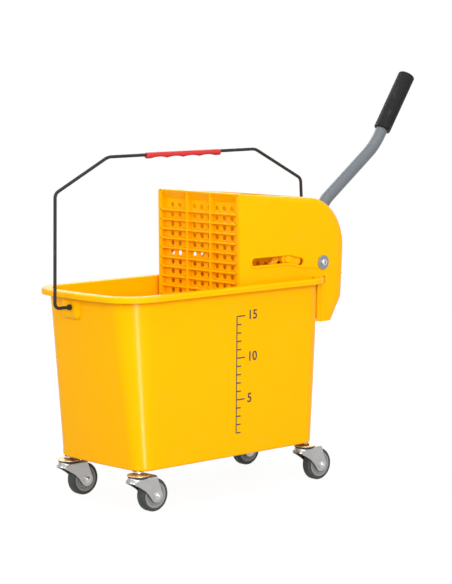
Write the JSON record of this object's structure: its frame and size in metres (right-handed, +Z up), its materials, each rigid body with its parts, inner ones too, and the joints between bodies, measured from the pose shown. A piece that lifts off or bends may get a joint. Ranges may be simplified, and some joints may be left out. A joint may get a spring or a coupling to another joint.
{
  "type": "mop bucket trolley",
  "caption": "Moulded tub on swivel casters with a swinging bail handle and a hooked-on side-press wringer whose lever slides a perforated plate against a ribbed grid.",
  "frame": {"origin": "on the floor, at the middle of the four caster swivels", "axes": "+X towards the wringer end, +Y across the tub to its right, +Z up"},
  "size_m": [0.7472, 0.237, 0.6414],
  "materials": {
    "yellow_plastic": "smooth moulded plastic with a soft gloss",
    "black_wire": "black coated wire",
    "red_plastic": "moulded grip",
    "grey_paint": "powder coat",
    "black_rubber": "diamond-knurled sleeve",
    "black_plastic": "turned spacer",
    "bright_steel": "bright zinc plate",
    "zinc_sheet": "pressed and zinc-plated sheet",
    "yellow_zinc": "yellow-passivated zinc",
    "grey_plastic": "moulded wheel centre",
    "grey_tyre": "solid grey rubber"
  },
  "bodies": {
    "trolley": {"bucket_tub": "yellow_plastic", "wringer_casing": "yellow_plastic", "front_grid": "yellow_plastic", "drain_floor": "yellow_plastic", "pivot_axle": "bright_steel", "hub_spacers": "black_plastic", "pivot_washers": "bright_steel", "pivot_screws": "bright_steel", "front_left_stem": "bright_steel", "front_left_race_dish": "yellow_zinc", "front_right_stem": "bright_steel", "front_right_race_dish": "yellow_zinc", "rear_left_stem": "bright_steel", "rear_left_race_dish": "yellow_zinc", "rear_right_stem": "bright_steel", "rear_right_race_dish": "yellow_zinc"},
    "lever": {"rocker": "yellow_plastic", "lever_tube": "grey_paint", "lever_grip": "black_rubber", "lever_bolt": "bright_steel"},
    "press": {"press_plate": "yellow_plastic", "guide_rod": "bright_steel", "guide_shoes": "yellow_plastic"},
    "bail": {"bail_wire": "black_wire", "bail_grip": "red_plastic"},
    "front_left_swivel": {"front_left_fork": "zinc_sheet", "front_left_balls": "bright_steel", "front_left_axle": "bright_steel"},
    "front_left_wheel": {"front_left_wheel_hub": "grey_plastic", "front_left_tyre": "grey_tyre"},
    "front_right_swivel": {"front_right_fork": "zinc_sheet", "front_right_balls": "bright_steel", "front_right_axle": "bright_steel"},
    "front_right_wheel": {"front_right_wheel_hub": "grey_plastic", "front_right_tyre": "grey_tyre"},
    "rear_left_swivel": {"rear_left_fork": "zinc_sheet", "rear_left_balls": "bright_steel", "rear_left_axle": "bright_steel"},
    "rear_left_wheel": {"rear_left_wheel_hub": "grey_plastic", "rear_left_tyre": "grey_tyre"},
    "rear_right_swivel": {"rear_right_fork": "zinc_sheet", "rear_right_balls": "bright_steel", "rear_right_axle": "bright_steel"},
    "rear_right_wheel": {"rear_right_wheel_hub": "grey_plastic", "rear_right_tyre": "grey_tyre"}
  },
  "joints": [
    {"name": "lever_press", "type": "hinge", "parent": "trolley", "child": "lever", "pos_m": [0.199, 0, 0.346], "axis": [0, 1, 0], "range_deg": [0, 42]},
    {"name": "press_slide", "type": "slide", "parent": "trolley", "child": "press", "axis": [-1, 0, 0], "range_m": [0, 0.0681]},
    {"name": "bail_swing", "type": "hinge", "parent": "trolley", "child": "bail", "pos_m": [0, 0.018, 0.301], "axis": [-1, 0, 0], "range_deg": [0, 150]},
    {"name": "front_left_turn", "type": "hinge", "parent": "trolley", "child": "front_left_swivel", "pos_m": [-0.17, -0.083, 0.055], "axis": [0, 0, 1], "continuous": true},
    {"name": "front_left_roll", "type": "hinge", "parent": "front_left_swivel", "child": "front_left_wheel", "pos_m": [-0.144, -0.083, 0.025], "axis": [0, 1, 0], "continuous": true},
    {"name": "front_right_turn", "type": "hinge", "parent": "trolley", "child": "front_right_swivel", "pos_m": [-0.17, 0.083, 0.055], "axis": [0, 0, 1], "continuous": true},
    {"name": "front_right_roll", "type": "hinge", "parent": "front_right_swivel", "child": "front_right_wheel", "pos_m": [-0.144, 0.083, 0.025], "axis": [0, 1, 0], "continuous": true},
    {"name": "rear_left_turn", "type": "hinge", "parent": "trolley", "child": "rear_left_swivel", "pos_m": [0.17, -0.083, 0.055], "axis": [0, 0, 1], "continuous": true},
    {"name": "rear_left_roll", "type": "hinge", "parent": "rear_left_swivel", "child": "rear_left_wheel", "pos_m": [0.196, -0.083, 0.025], "axis": [0, 1, 0], "continuous": true},
    {"name": "rear_right_turn", "type": "hinge", "parent": "trolley", "child": "rear_right_swivel", "pos_m": [0.17, 0.083, 0.055], "axis": [0, 0, 1], "continuous": true},
    {"name": "rear_right_roll", "type": "hinge", "parent": "rear_right_swivel", "child": "rear_right_wheel", "pos_m": [0.196, 0.083, 0.025], "axis": [0, 1, 0], "continuous": true}
  ],
  "couplings": [
    {"joint": "press_slide", "follows": "lever_press", "m_per_rad": 0.092765}
  ]
}
